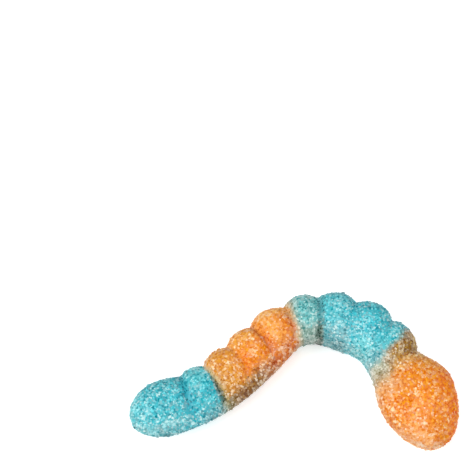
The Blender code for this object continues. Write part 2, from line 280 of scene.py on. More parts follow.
def skin_points(s, angle):
    """Points of the worm's skin in mm, at distances s along it and angles round it."""
    ridge = along(RIDGE_REACH_MM, s)
    back = along(BACK_REACH_MM, s)
    half_width = along(HALF_WIDTH_MM, s)
    roll = np.radians(along(ROLL_DEG, s))
    share = np.minimum(
        end_round(s, TAIL_END_MM, TAIL_END_POWERS),
        end_round(worm_length - s, HEAD_END_MM, HEAD_END_POWERS),
    )
    plain_out, plain_up, unit_out, unit_up = section_at(angle, ridge, back, half_width)
    fade = smooth_step(*ARCH_FADE, np.cos(angle))
    rise = arch_rise(s + crease_shift(s, angle))
    dish = BACK_DISH_MM * np.clip(1.0 - (np.sin(angle) / BACK_DISH_SHARE) ** 2, 0.0, 1.0)
    dish = np.where(np.cos(angle) > 0.0, 0.0, dish)
    fold = fold_depth(s, angle)
    rim = rim_share(s, angle) * RIM_RISE_MM
    out = plain_out + rise * fade * np.maximum(unit_out, 0.0) + dish - fold * unit_out
    up = plain_up + ARCH_SIDE_SHARE * rise * fade * unit_up - (fold - rim) * unit_up
    way = np.stack([np.interp(s, spine_s, spine_way[:, axis]) for axis in (0, 1)], axis=1)
    way /= np.linalg.norm(way, axis=1)[:, None]
    outer = np.stack([-way[:, 1], way[:, 0], np.zeros(len(s))], axis=1)
    upright = np.array([0.0, 0.0, 1.0])
    to_ridge = np.cos(roll)[:, None] * outer + np.sin(roll)[:, None] * upright
    to_side = -np.sin(roll)[:, None] * outer + np.cos(roll)[:, None] * upright
    centre = np.stack([
        np.interp(s, spine_s, spine_plan[:, 0]) + SPINE_SHIFT_MM[0],
        np.interp(s, spine_s, spine_plan[:, 1]) + SPINE_SHIFT_MM[1],
        -np.interp(s, spine_s, spine_low) - SETTLED_MM,
    ], axis=1)
    return centre + (share * out)[:, None] * to_ridge + (share * up)[:, None] * to_side


# The places of the rings: close on the two round ends and evenly spaced between
lobes_length = worm_length - HEAD_END_MM - TAIL_END_MM
lobe_rings = round(lobes_length / LOBE_RING_MM)
ring_places = [
    TAIL_END_MM * (1.0 - math.cos(0.5 * math.pi * k / TAIL_RINGS))
    for k in range(1, TAIL_RINGS + 1)
]
ring_places += [TAIL_END_MM + lobes_length * k / lobe_rings for k in range(1, lobe_rings + 1)]
ring_places += [
    worm_length - HEAD_END_MM * (1.0 - math.sin(0.5 * math.pi * k / HEAD_RINGS))
    for k in range(1, HEAD_RINGS)
]

# A ring is drawn, pushed out station by station into a long tube, and closed at both ends
bpy.ops.object.select_all(action="DESELECT")
bpy.ops.mesh.primitive_circle_add(
    vertices=GUMMY_SIDES, radius=1.0, fill_type="NOTHING",
    location=(ring_places[0], 0.0, 0.0), rotation=(0.0, math.pi / 2.0, 0.0),
)
gummy = bpy.context.object
gummy.name = "gummy_body"
bpy.ops.object.transform_apply(location=True, rotation=True, scale=True)
bpy.ops.object.mode_set(mode="EDIT")
bpy.ops.mesh.select_all(action="SELECT")
bpy.ops.mesh.edge_face_add()
bpy.ops.mesh.poke()
bpy.ops.mesh.select_all(action="DESELECT")
drawn_ring = bmesh.from_edit_mesh(gummy.data)
for edge in drawn_ring.edges:
    if edge.is_boundary:
        edge.select_set(True)
bmesh.update_edit_mesh(gummy.data)
for start, end in zip(ring_places[:-1], ring_places[1:]):
    bpy.ops.mesh.extrude_region_move(TRANSFORM_OT_translate={"value": (end - start, 0.0, 0.0)})
bpy.ops.mesh.edge_face_add()
bpy.ops.mesh.poke()
bpy.ops.mesh.select_all(action="SELECT")
bpy.ops.mesh.normals_make_consistent(inside=False)
bpy.ops.object.mode_set(mode="OBJECT")

# The tube is then pressed to the mould: every point goes to its place on the worm's skin,
# and the whole skin is drawn in by the thickness of the sugar that lies on it. The points of
# the two tips are those on the tube's axis, which go to the worm's own two ends.
tube = np.zeros(len(gummy.data.vertices) * 3)
gummy.data.vertices.foreach_get("co", tube)
tube = tube.reshape(-1, 3)
tube_angle = np.arctan2(tube[:, 1], -tube[:, 2])
on_axis = np.hypot(tube[:, 1], tube[:, 2]) < 0.5
tube_s = tube[:, 0].copy()
tube_s[on_axis & (tube_s < 1.0)] = 0.0
tube_s[on_axis & (tube_s > 1.0)] = worm_length
gummy.data.vertices.foreach_set("co", skin_points(tube_s, tube_angle).ravel())
gummy.data.update()
bpy.ops.object.mode_set(mode="EDIT")
bpy.ops.mesh.select_all(action="SELECT")
bpy.ops.mesh.normals_make_consistent(inside=False)
bpy.ops.transform.shrink_fatten(value=-COAT_MM)
bpy.ops.transform.resize(value=(MM, MM, MM), center_override=(0.0, 0.0, 0.0))
bpy.ops.object.mode_set(mode="OBJECT")
skin = np.zeros(len(gummy.data.vertices) * 3)
gummy.data.vertices.foreach_get("co", skin)
skin = skin.reshape(-1, 3)
skin[:, 2] = np.maximum(skin[:, 2], FLOOR_GAP_MM * MM)
gummy.data.vertices.foreach_set("co", skin.ravel())

# Each point remembers its place in the mould: how far along the worm in mm, and how far
# round from the ridge in degrees, 0 on the ridge, 90 on a side wall and 180 on the back
mould_place = gummy.data.attributes.new("mould_place", "FLOAT_VECTOR", "POINT")
mould_values = np.stack([tube_s, turn_from_ridge(tube_angle), np.zeros(len(tube_s))], axis=1)
mould_place.data.foreach_set("vector", mould_values.ravel())
gummy.data.update()
bpy.ops.object.shade_smooth()

# The flat map: along the worm one way and round it the other, closed where the last face
# meets the first, with each tip's point over the middle of its own face
face_starts = np.zeros(len(gummy.data.polygons), dtype=np.int32)
face_totals = np.zeros(len(gummy.data.polygons), dtype=np.int32)
corner_points = np.zeros(len(gummy.data.loops), dtype=np.int32)
gummy.data.polygons.foreach_get("loop_start", face_starts)
gummy.data.polygons.foreach_get("loop_total", face_totals)
gummy.data.loops.foreach_get("vertex_index", corner_points)
round_share = (tube_angle[corner_points] / (2.0 * math.pi)) % 1.0
at_tip = on_axis[corner_points]
face_of_corner = np.repeat(np.arange(len(face_starts)), face_totals)
highest = np.maximum.reduceat(np.where(at_tip, -1.0, round_share), face_starts)
lowest = np.minimum.reduceat(np.where(at_tip, 2.0, round_share), face_starts)
closing = (highest - lowest > 0.5)[face_of_corner]
round_share += closing & (round_share < 0.5)
middle_share = np.add.reduceat(np.where(at_tip, 0.0, round_share), face_starts)
middle_share /= np.add.reduceat(np.where(at_tip, 0.0, 1.0), face_starts)
round_share = np.where(at_tip, middle_share[face_of_corner], round_share)
flat_places = np.stack([
    tube_s[corner_points] / worm_length,
    round_share / (1.0 + 1.0 / GUMMY_SIDES),
], axis=1)
body_map = gummy.data.uv_layers.new(name="OFBake")
body_map.uv.foreach_set("vector", flat_places.astype(np.float32).ravel())


def srgb(code):
    """A colour given as sRGB hex, turned to linear."""
    values = [int(code[k:k + 2], 16) / 255.0 for k in (0, 2, 4)]
    linear = [v / 12.92 if v <= 0.04045 else ((v + 0.055) / 1.055) ** 2.4 for v in values]
    return (*linear, 1.0)


def add_node(tree, kind, inputs=None, settings=None):
    """One shader node with its settings, constants and links."""
    node = tree.nodes.new(kind)
    for name, value in (settings or {}).items():
        setattr(node, name, value)
    for name, value in (inputs or {}).items():
        if isinstance(value, bpy.types.NodeSocket):
            tree.links.new(value, node.inputs[name])
        else:
            node.inputs[name].default_value = value
    return node


# The gelatine's colours, with the muddy ones where the two pourings ran together, and dark ones painted as
# shade in the creases
BLUE = "2cafbc"
SOFT_BLUE = "40b4be"
TAIL_BLUE = "2eacb8"
FAINT_BLUE = "4cbac3"
DEEP_BLUE = "1fa0b0"
PALE_BLUE = "58bcc3"
GREY_BLUE = "5ba6ae"
PAINTED_GREEN_CREASE_SHADE = "46665a"
PAINTED_TEAL_CREASE_SHADE = "48949a"
PAINTED_CREASE_SHADOW = "2a4c42"
SEAM_KHAKI = "c6be98"
TEAL = "5cb2b3"
GREY_TEAL = "86a69c"
ORANGE = "e08208"
DEEP_ORANGE = "e87c00"
WARM_ORANGE = "e29632"
YELLOW_ORANGE = "d68c24"
PALE_ORANGE = "eda054"
HEAD_BEIGE = "dfa468"
PEACH_ORANGE = "eaa044"
BURNT_ORANGE = "c86a1c"
BROWN = "88581c"
RED_BROWN = "b0682c"
OLIVE_BROWN = "94660e"
MUDDY_ORANGE = "c8903e"
SEAM_ORANGE = "c48428"
MUDDY_KHAKI = "b49a60"
GREEN_BROWN = "7f7446"
BEIGE = "c6ad86"
KHAKI = "a08c64"
GREY_BEIGE = "a9ac94"

# Stops along the worm in mm for three ways round it: on the ridge, on the side wall above,
# and on the flat back, which was the top of the mould. The dark stops at the creases are
# painted shade: deep blue at 11.5 mm, the crease shadow at 17.6 to 18 mm, burnt orange at
# 31.2 and 37.7 mm on the wall, and the teal and green crease shades near 44 mm.
RIDGE_STOPS = [
    (0, PALE_BLUE), (4, TAIL_BLUE), (10.2, TAIL_BLUE), (11.5, DEEP_BLUE), (13, FAINT_BLUE),
    (16, FAINT_BLUE), (17.5, BLUE), (18.1, SEAM_KHAKI), (18.9, YELLOW_ORANGE),
    (22.5, YELLOW_ORANGE), (25.5, WARM_ORANGE), (31, WARM_ORANGE), (35, PEACH_ORANGE),
    (38.1, PEACH_ORANGE), (39, BEIGE), (39.6, GREY_TEAL), (40.6, TEAL), (43, TEAL),
    (45, SOFT_BLUE), (50, BLUE), (58.4, BLUE), (59.4, OLIVE_BROWN), (62.3, OLIVE_BROWN),
    (63.4, MUDDY_ORANGE), (65.5, WARM_ORANGE), (71, DEEP_ORANGE), (81.5, DEEP_ORANGE),
]
WALL_STOPS = [
    (0, SOFT_BLUE), (4, TAIL_BLUE), (10.2, TAIL_BLUE), (11.5, DEEP_BLUE), (13, TAIL_BLUE),
    (17.2, BLUE), (17.6, PAINTED_CREASE_SHADOW), (18.0, PAINTED_CREASE_SHADOW), (18.3, MUDDY_KHAKI), (19.3, SEAM_ORANGE),
    (22, YELLOW_ORANGE), (25, ORANGE), (30.4, ORANGE), (31.2, BURNT_ORANGE), (32, ORANGE),
    (34, PEACH_ORANGE), (36.5, ORANGE), (37.7, BURNT_ORANGE), (38.5, BEIGE), (39.2, GREY_TEAL),
    (40.2, TEAL), (43, TEAL), (43.9, PAINTED_TEAL_CREASE_SHADE), (45, SOFT_BLUE), (52, BLUE), (56, BLUE),
    (58, FAINT_BLUE), (59.2, FAINT_BLUE), (60.4, OLIVE_BROWN), (62, OLIVE_BROWN),
    (63.4, MUDDY_ORANGE), (66, ORANGE),
]
BACK_STOPS = [
    (0, PALE_BLUE), (5, GREY_BLUE), (12, BLUE), (16.5, GREY_BLUE), (18.0, GREEN_BROWN),
    (20.5, BROWN), (25, BROWN), (28, RED_BROWN), (31, BURNT_ORANGE), (36.4, BURNT_ORANGE),
    (37.6, BEIGE), (39.2, GREY_TEAL), (42, GREY_TEAL), (43.3, PAINTED_GREEN_CREASE_SHADE), (44.2, PAINTED_GREEN_CREASE_SHADE),
    (45, GREY_BLUE), (50, GREY_BLUE), (52, BLUE), (54, PALE_BLUE), (57, PALE_BLUE),
    (60, GREY_BLUE), (61.8, GREY_BEIGE), (64, KHAKI), (66.5, HEAD_BEIGE), (70, ORANGE),
    (74, ORANGE), (77, PALE_ORANGE), (81.5, PALE_ORANGE),
]
RIDGE_TO_WALL_DEG = (35.0, 70.0)
WALL_TO_BACK_DEG = (86.0, 104.0)
# The pourings' edges wander by this much, in waves of this size
WANDER_MM = 0.45
WANDER_DEG = 10.0
WANDER_SIZE_MM = 2.5


def wandering(tree, value, swirl, reach):
    """The value, moved up or down by up to the reach with the swirl, which goes from 0 to 1."""
    middle = add_node(tree, "ShaderNodeMath", {0: swirl, 1: 0.5}, {"operation": "SUBTRACT"})
    moved = add_node(
        tree, "ShaderNodeMath", {0: middle.outputs[0], 1: 2.0 * reach, 2: value},
        {"operation": "MULTIPLY_ADD"},
    )
    return moved.outputs[0]


def poured_colour(tree):
    """The gelatine's colour from the place in the mould."""
    place = add_node(tree, "ShaderNodeAttribute", settings={"attribute_name": "mould_place"})
    parts = add_node(tree, "ShaderNodeSeparateXYZ", {"Vector": place.outputs["Vector"]})
    where = add_node(tree, "ShaderNodeTexCoord")
    swirl = add_node(
        tree, "ShaderNodeTexNoise",
        {"Vector": where.outputs["Object"], "Scale": 1.0 / (WANDER_SIZE_MM * MM),
         "Detail": 3.0, "Roughness": 0.6},
    )
    swirls = add_node(tree, "ShaderNodeSeparateColor", {"Color": swirl.outputs["Color"]})
    s = wandering(tree, parts.outputs["X"], swirls.outputs["Red"], WANDER_MM)
    turn = wandering(tree, parts.outputs["Y"], swirls.outputs["Green"], WANDER_DEG)
    share = add_node(
        tree, "ShaderNodeMapRange", {"Value": s, "From Min": 0.0, "From Max": float(worm_length)},
    ).outputs["Result"]
    colours = []
    for stops in (RIDGE_STOPS, WALL_STOPS, BACK_STOPS):
        ramp = add_node(tree, "ShaderNodeValToRGB", {"Fac": share})
        while len(ramp.color_ramp.elements) < len(stops):
            ramp.color_ramp.elements.new(0.5)
        for element, (place_mm, code) in zip(ramp.color_ramp.elements, stops):
            element.position = min(place_mm / worm_length, 1.0)
            element.color = srgb(code)
        colours.append(ramp.outputs["Color"])
    for limits, upper in ((RIDGE_TO_WALL_DEG, colours[1]), (WALL_TO_BACK_DEG, colours[2])):
        blend = add_node(
            tree, "ShaderNodeMapRange", {"Value": turn, "From Min": limits[0], "From Max": limits[1]},
            {"interpolation_type": "SMOOTHSTEP"},
        )
        mixed = add_node(tree, "ShaderNodeMix", {"Factor": blend.outputs["Result"]}, {"data_type": "RGBA"})
        tree.links.new(colours[0], mixed.inputs["A"])
        tree.links.new(upper, mixed.inputs["B"])
        colours[0] = mixed.outputs["Result"]
    return colours[0]


# Gelatine gel: a clear jelly that light enters and comes back out of, wet-looking where bare.
# Steam made it sticky before the sugar went on, so it shines softly.
GELATINE_IOR = 1.44
GELATINE_ROUGHNESS = 0.32
LIGHT_LET_IN = 0.5
LIGHT_REACH_MM = (1.0, 0.7, 0.5)
PIT_SIZE_MM = 0.35
PIT_DEPTH_MM = 0.06
PIT_STRENGTH = 0.8

gelatine = bpy.data.materials.new("gelatine_gel")
gelatine.use_nodes = True
tree = gelatine.node_tree
shader = tree.nodes["Principled BSDF"]
tree.links.new(poured_colour(tree), shader.inputs["Base Color"])
shader.inputs["Roughness"].default_value = GELATINE_ROUGHNESS
shader.inputs["IOR"].default_value = GELATINE_IOR
shader.inputs["Subsurface Weight"].default_value = LIGHT_LET_IN
shader.inputs["Subsurface Radius"].default_value = LIGHT_REACH_MM
shader.inputs["Subsurface Scale"].default_value = MM
spot = add_node(tree, "ShaderNodeTexCoord")
pits = add_node(
    tree, "ShaderNodeTexNoise",
    {"Vector": spot.outputs["Object"], "Scale": 1.0 / (PIT_SIZE_MM * MM), "Detail": 2.0},
)
pitted = add_node(
    tree, "ShaderNodeBump",
    {"Height": pits.outputs["Fac"], "Distance": PIT_DEPTH_MM * MM, "Strength": PIT_STRENGTH},
)
tree.links.new(pitted.outputs["Normal"], shader.inputs["Normal"])
gummy.data.materials.append(gelatine)
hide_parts(WORM_NODE)
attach(gummy, "root")


# THE SUGAR
# Coarse sugar and citric acid tumbled on while the gummy was still sticky. The crystals are
# blocky prisms with cut corners, clear or frosted, half sunk in the skin and lying every way.
KINDS = [
    # name, sizes in mm, most pieces, spacing as a share of the size
    ("sugar_coarse", (0.5, 0.72), 900, 2.4),
    ("sugar_medium", (0.36, 0.5), 7600, 0.85),
    ("sugar_small", (0.26, 0.36), 8300, 0.7),
    ("sugar_fine", (0.18, 0.27), 9900, 0.65),
]
SUGAR_SEED = 41
# Many more places are drawn than are used, none of them right on a tip, and fewer are kept
# where a step along and round the worm covers little skin
CANDIDATES_PER_PIECE = 7
TRIES_PER_CANDIDATE = 2
TIP_GAP_MM = 0.02
FULL_AREA_QUANTILE = 0.995
# The way out of the skin at a place is found by a step this far along it and round it
NORMAL_STEP_MM = 0.25
NORMAL_STEP_RAD = 0.04
# Crystals of two kinds keep their middles apart by this share of their two sizes together
KEPT_APART_SHARE = 0.36
# A crystal's middle stands this far out of the skin, as a share of its size
RISE_SHARE = (-0.15, 0.12)
# A fold this deep counts as a full one. It has fewer crystals, and its less white and deeper colour are
# painted shade.
FULL_FOLD_MM = 0.4
FOLD_BARE_SHARE = 0.6
FOLD_SHADE_FROST_LOST = 0.85
FOLD_SHADE_DEPTH_ADDED = 0.55
# Each crystal takes its colour from a little beside its own place, in mm and in degrees
COLOUR_JITTER = (0.15, 3.0)

# Frost is how white a crystal is: most a little, a few a lot
FROST_SHAPE = 0.9
FROST_SCALE = 0.26
MOST_FROST = 0.72
# The flat back is frosted whiter than the walls and the tail's rim whiter too, and the outside
# of the head is less white, as painted shade
BACK_FROST = 1.25
BACK_FROST_DEG = (88.0, 104.0)
SHADED_HEAD_RIDGE_FROST = 0.6
HEAD_RIDGE_DEG = (45.0, 75.0)
HEAD_STARTS_MM = (62.0, 68.0)
RIM_FROST = 0.22
# Where the two pourings mixed, on the back and less so on the neck, half of the larger
# crystals are white and stand out on the brown, and all the others are nearly clear
BROWN_MM = (18.5, 20.0, 30.0, 33.0)
OLIVE_MM = (59.5, 60.5, 63.0, 64.5)
OLIVE_SHARE = 0.35
BROWN_WHITE_SHARE = 0.5
BROWN_WHITE_SIZE_MM = (0.22, 0.34)
BROWN_CLEAR_FROST = 0.16
BROWN_WHITE_FROST = 0.75
# Here and there a few crystals broke into a pale patch
PATCHES = 130
PATCH_RADIUS_MM = 0.65
PATCH_FROST = 0.3
# On the orange and the brown the white lies in small clumps, on the blue it is strewn evenly
CLOT_SIZE_MM = 0.75
CLOT_STRENGTH = 2.4
CLOT_LIMITS = (0.08, 2.1)
CLOTTED_MM = [
    (0, 0.25), (17.5, 0.25), (19, 1.0), (38.5, 1.0), (40, 0.25), (59, 0.25), (60, 0.8),
    (65, 1.0), (83, 1.0),
]

# Depth is how much jelly a crystal's colour seems to come through, 1 for that of the skin, and in a fold
# it also carries painted shade.
# The blue and the olive vary more from crystal to crystal than the orange does.
DEPTH_MIDDLE = 1.08
DEPTH_SPREAD = 0.22
DEPTH_LIMITS = (0.8, 1.35)
VARIED_MM = [
    (0, 1.9), (17.5, 1.9), (19, 1.2), (38.5, 1.2), (40, 1.9), (63, 1.9), (65, 1.2), (83, 1.2),
]


def cut_crystal(name, proportions, cuts):
    """A block of sugar one unit long with corners and edges cut off flat, as points and faces."""
    bpy.ops.object.select_all(action="DESELECT")
    bpy.ops.mesh.primitive_cube_add(size=1.0, scale=proportions)
    block = bpy.context.object
    block.name = name
    bpy.ops.object.transform_apply(location=True, rotation=True, scale=True)
    bpy.ops.object.mode_set(mode="EDIT")
    for reach, direction in cuts:
        way = Vector(direction).normalized()
        bpy.ops.mesh.select_all(action="SELECT")
        bpy.ops.mesh.bisect(plane_co=way * reach, plane_no=way, use_fill=True, clear_outer=True)
    bpy.ops.mesh.select_all(action="SELECT")
    bpy.ops.mesh.remove_doubles(threshold=0.01)
    bpy.ops.mesh.normals_make_consistent(inside=False)
    bpy.ops.object.mode_set(mode="OBJECT")
    points = np.array([vertex.co for vertex in block.data.vertices])
    faces = [list(polygon.vertices) for polygon in block.data.polygons]
    bpy.data.objects.remove(block)
    return points, faces


# Three shapes of crystal for the larger kinds, and two plainer ones for the finest
BLOCKS = [
    cut_crystal(
        "block_a", (1.0, 0.8, 0.7),
        [(0.52, (1, 1, 0.6)), (0.5, (-1, 0.5, 1)), (0.5, (0.4, -1, -1))],
    ),
    cut_crystal(
        "block_b", (1.0, 0.7, 0.8),
        [(0.45, (1, 0, 1)), (0.52, (-1, 1, 0.5)), (0.5, (-0.6, -1, 1))],
    ),
    cut_crystal(
        "block_c", (0.9, 0.9, 0.65),
        [(0.5, (1, 1, 0)), (0.5, (-1, 1, 1)), (0.46, (0, -1, 1))],
    ),
]
PLAIN_BLOCKS = [
    cut_crystal("block_d", (1.0, 0.8, 0.7), [(0.5, (1, 1, 0.7)), (0.5, (-1, -0.6, 1))]),
    cut_crystal("block_e", (0.9, 0.85, 0.7), [(0.48, (1, 0.2, 1)), (0.52, (-1, 1, -0.6))]),
]


def fold_share(s, angle):
    """How far down in a fold a place lies, from 0 on the open skin to 1."""
    return np.clip(fold_depth(s, angle) / FULL_FOLD_MM, 0.0, 1.0)


def spread_on_skin(random, count):
    """Places spread evenly over the skin: distance, angle, point and outward direction of each."""
    tries = count * TRIES_PER_CANDIDATE
    s = random.uniform(TIP_GAP_MM, worm_length - TIP_GAP_MM, tries)
    angle = random.uniform(0.0, 2.0 * math.pi, tries)
    ahead = skin_points(np.minimum(s + NORMAL_STEP_MM, worm_length), angle)
    behind = skin_points(np.maximum(s - NORMAL_STEP_MM, 0.0), angle)
    round_it = skin_points(s, angle + NORMAL_STEP_RAD) - skin_points(s, angle - NORMAL_STEP_RAD)
    outward = np.cross(round_it, ahead - behind)
    area = np.linalg.norm(outward, axis=1)
    wanted = area * (1.0 - FOLD_BARE_SHARE * fold_share(s, angle))
    kept = random.uniform(0.0, np.quantile(area, FULL_AREA_QUANTILE), tries) < wanted
    s = s[kept]
    angle = angle[kept]
    outward = outward[kept] / area[kept][:, None]
    return s, angle, skin_points(s, angle), outward


def random_turns(random, count):
    """Turns in every direction alike, as rotation matrices from random quaternions."""
    q = random.normal(size=(count, 4))
    w, x, y, z = (q / np.linalg.norm(q, axis=1)[:, None]).T
    return np.stack([
        1 - 2 * (y * y + z * z), 2 * (x * y - z * w), 2 * (x * z + y * w),
        2 * (x * y + z * w), 1 - 2 * (x * x + z * z), 2 * (y * z - x * w),
        2 * (x * z - y * w), 2 * (y * z + x * w), 1 - 2 * (x * x + y * y),
    ], axis=1).reshape(-1, 3, 3)


def lookup_of(points):
    """The points sorted by place, so that the ones near a place are found at once."""
    lookup = KDTree(len(points))
    for index, point in enumerate(points):
        lookup.insert(point, index)
    lookup.balance()
    return lookup


def settle(points, sizes, spacing, most, placed):
    """Which places are used, so that no crystal's middle is too near to another's."""
    lookup = lookup_of(points)
    free = np.ones(len(points), dtype=bool)
    middle_size = float(np.mean(sizes))
    for point, size in placed:
        for _, index, _ in lookup.find_range(point, KEPT_APART_SHARE * (size + middle_size)):
            free[index] = False
    used = []
    for index in range(len(points)):
        if free[index]:
            used.append(index)
            if len(used) == most:
                break
            for _, other, _ in lookup.find_range(points[index], spacing * sizes[index]):
                free[other] = False
    return np.array(used)


# The worm's box in mm, and how far out in its own cell of the flat map a crystal reaches
box_low = np.array([cad_box[0][0], cad_box[0][1], 0.0]) / MM
box_high = np.array(cad_box[1]) / MM
CELL_REACH = 0.42


def scattered_mesh(name, blocks, centres, turns, sizes, values, outward, depths):
    """One mesh with a copy of a block at each place, and values for each copy on its points."""
    picks = np.arange(len(centres)) % len(blocks)
    cells = math.ceil(math.sqrt(len(centres)))
    vertices = []
    point_values = []
    point_ways = []
    point_depths = []
    corner_vertices = []
    face_sizes = []
    corner_places = []
    first = 0
    for number, (points, faces) in enumerate(blocks):
        chosen = np.nonzero(picks == number)[0]
        local = sizes[chosen][:, None, None] * np.einsum("nij,pj->npi", turns[chosen], points)
        copies = centres[chosen][:, None, :] + local
        # A crystal that would stick out of the worm's box or into the table is pushed in whole
        copies += np.maximum(box_low - copies.min(axis=1), 0.0)[:, None, :]
        copies += np.minimum(box_high - copies.max(axis=1), 0.0)[:, None, :]
        vertices.append(copies.reshape(-1, 3))
        point_values.append(np.repeat(values[chosen], len(points), axis=0))
        point_ways.append(np.repeat(outward[chosen], len(points), axis=0))
        point_depths.append(np.repeat(depths[chosen], len(points)))
        corners = np.concatenate([np.array(face) for face in faces])
        offsets = first + np.arange(len(chosen)) * len(points)
        corner_vertices.append((offsets[:, None] + corners[None, :]).ravel())
        face_sizes.append(np.tile([len(face) for face in faces], len(chosen)))
        # On the flat map each crystal has a square cell of its own, and its faces all fill it
        corner_turns = [2.0 * math.pi * np.arange(len(face)) / len(face) for face in faces]
        corner_turns = np.concatenate(corner_turns)
        cell_x = (chosen % cells)[:, None] + 0.5 + CELL_REACH * np.cos(corner_turns)[None, :]
        cell_y = (chosen // cells)[:, None] + 0.5 + CELL_REACH * np.sin(corner_turns)[None, :]
        corner_places.append(np.stack([cell_x.ravel(), cell_y.ravel()], axis=1) / cells)
        first += len(chosen) * len(points)
    vertices = np.concatenate(vertices)
    point_values = np.concatenate(point_values)
    corner_vertices = np.concatenate(corner_vertices)
    face_sizes = np.concatenate(face_sizes)
    mesh = bpy.data.meshes.new(name)
    mesh.vertices.add(len(vertices))
    mesh.vertices.foreach_set("co", (vertices * MM).ravel())
    mesh.loops.add(len(corner_vertices))
    mesh.loops.foreach_set("vertex_index", corner_vertices.astype(np.int32))
    mesh.polygons.add(len(face_sizes))
    starts = np.concatenate([[0], np.cumsum(face_sizes)[:-1]])
    mesh.polygons.foreach_set("loop_start", starts.astype(np.int32))
    mesh.update(calc_edges=True)
    mesh.shade_flat()
    flat_map = mesh.uv_layers.new(name="OFBake")
    flat_map.uv.foreach_set("vector", np.concatenate(corner_places).astype(np.float32).ravel())
    place = mesh.attributes.new("mould_place", "FLOAT_VECTOR", "POINT")
    place.data.foreach_set("vector", point_values.astype(np.float32).ravel())
    way_out = mesh.attributes.new("way_out", "FLOAT_VECTOR", "POINT")
    way_out.data.foreach_set("vector", np.concatenate(point_ways).astype(np.float32).ravel())
    depth = mesh.attributes.new("depth", "FLOAT", "POINT")
    depth.data.foreach_set("value", np.concatenate(point_depths).astype(np.float32))
    mesh.validate()
    return mesh


def straight_along(table, s):
    """A share read from its table at distances s, along straight lines between its rows."""
    rows = np.array(table)
    return np.interp(s, rows[:, 0], rows[:, 1])


def on_stretch(limits, s):
    """A share that comes in between the first two limits and goes out between the last two."""
    return smooth_step(limits[0], limits[1], s) * (1.0 - smooth_step(limits[2], limits[3], s))


# The largest crystals are laid first, and each finer kind fills in between
sugar_random = np.random.default_rng(SUGAR_SEED)
placed = []
_, _, patch_points, _ = spread_on_skin(sugar_random, PATCHES)
patches = lookup_of(patch_points)
for name, size_limits, most, spacing in KINDS:
    s, angle, points, outward = spread_on_skin(sugar_random, most * CANDIDATES_PER_PIECE)
    sizes = sugar_random.uniform(*size_limits, len(s))
    used = settle(points, sizes, spacing, most, placed)
    s = s[used]
    angle = angle[used]
    points = points[used]
    outward = outward[used]
    sizes = sizes[used]
    placed += list(zip(points, sizes))
    rise = sugar_random.uniform(*RISE_SHARE, len(s)) * sizes
    centres = points + outward * (rise - COAT_MM)[:, None]
    turn = turn_from_ridge(angle)
    in_fold = fold_share(s, angle)

    # Most crystals show the gummy's colour through them, as if through more or less of it, and
    # some are cracked inside and white
    frost = sugar_random.gamma(FROST_SHAPE, FROST_SCALE, len(s))
    frost *= 1.0 + (BACK_FROST - 1.0) * smooth_step(*BACK_FROST_DEG, turn)
    jitter = sugar_random.normal(0.0, 1.0, (len(s), 2)) * COLOUR_JITTER
    # The outside of the head is made less white, as painted shade
    on_head = smooth_step(*HEAD_STARTS_MM, s)
    on_ridge = 1.0 - smooth_step(*HEAD_RIDGE_DEG, turn)
    frost *= 1.0 - (1.0 - SHADED_HEAD_RIDGE_FROST) * on_head * on_ridge

    # On the brown and the olive a crystal is either nearly clear or white
    on_brown = on_stretch(BROWN_MM, s) * smooth_step(*BACK_FROST_DEG, turn)
    on_brown = np.maximum(on_brown, OLIVE_SHARE * on_stretch(OLIVE_MM, s))
    white_chance = BROWN_WHITE_SHARE * smooth_step(*BROWN_WHITE_SIZE_MM, sizes)
    white = sugar_random.uniform(0.0, 1.0, len(s)) < white_chance
    frost += on_brown * (np.where(white, BROWN_WHITE_FROST, BROWN_CLEAR_FROST) - frost)

    # The pale patches, the small clumps and the tail's rim come on top, and in a fold most of
    # the white goes, as painted shade
    to_patch = np.array([patches.find(point)[2] for point in points])
    frost += PATCH_FROST * np.exp(-(to_patch / PATCH_RADIUS_MM) ** 2)
    clotted = CLOT_STRENGTH * straight_along(CLOTTED_MM, s)
    clots = np.array([noise.noise(Vector(point) / CLOT_SIZE_MM) for point in points])
    frost *= np.clip(1.0 + clotted * clots, *CLOT_LIMITS)
    frost += RIM_FROST * rim_share(s, angle)
    frost = np.minimum(frost, MOST_FROST) * (1.0 - FOLD_SHADE_FROST_LOST * in_fold)

    # Each crystal shows more or less of the jelly, and down in a fold the colour is deeper, as painted
    # shade
    depths = np.clip(sugar_random.normal(DEPTH_MIDDLE, DEPTH_SPREAD, len(s)), *DEPTH_LIMITS)
    depths = 1.0 + (depths - 1.0) * straight_along(VARIED_MM, s)
    depths += FOLD_SHADE_DEPTH_ADDED * in_fold
    values = np.stack([s + jitter[:, 0], turn + jitter[:, 1], frost], axis=1)
    blocks = PLAIN_BLOCKS if name == "sugar_fine" else BLOCKS
    turns = random_turns(sugar_random, len(s))
    mesh = scattered_mesh(name, blocks, centres, turns, sizes, values, outward, depths)
    sugar = bpy.data.objects.new(name, mesh)
    bpy.context.scene.collection.objects.link(sugar)

# Sucrose: clear crystals with flat faces that flash, and white where they are cracked inside
SUGAR_WHITE = "f6f3ea"
SUGAR_IOR = 1.54
# Its body is dull, and over it lie a thin gloss on the flat faces and a faint sheen
BODY_ROUGHNESS = 0.6
GLOSS = 0.11
GLOSS_ROUGHNESS = 0.22
SHEEN = 0.35
SHEEN_ROUGHNESS = 0.35
# How much of the jelly's colour is in the white, and through how much of it that seems to come
WHITE_TINT = 0.55
TINT_DEPTH = 0.5
# What comes through more jelly is darker by this share, and so is the painted shade in a fold
DEPTH_DIMMING = 0.15
# The sugar lies thicker and whiter in some places than in others, between these two shares
CLUMP_SIZE_MM = 2.6
CLUMP_PATTERN = 0.0
CLUMP_NOISE = (0.3, 0.7)
CLUMP_FROST = (0.4, 1.6)
# How far a crystal's body is lit by its own face, and not as the skin under it is
OWN_FACE_SHARE = 0.2

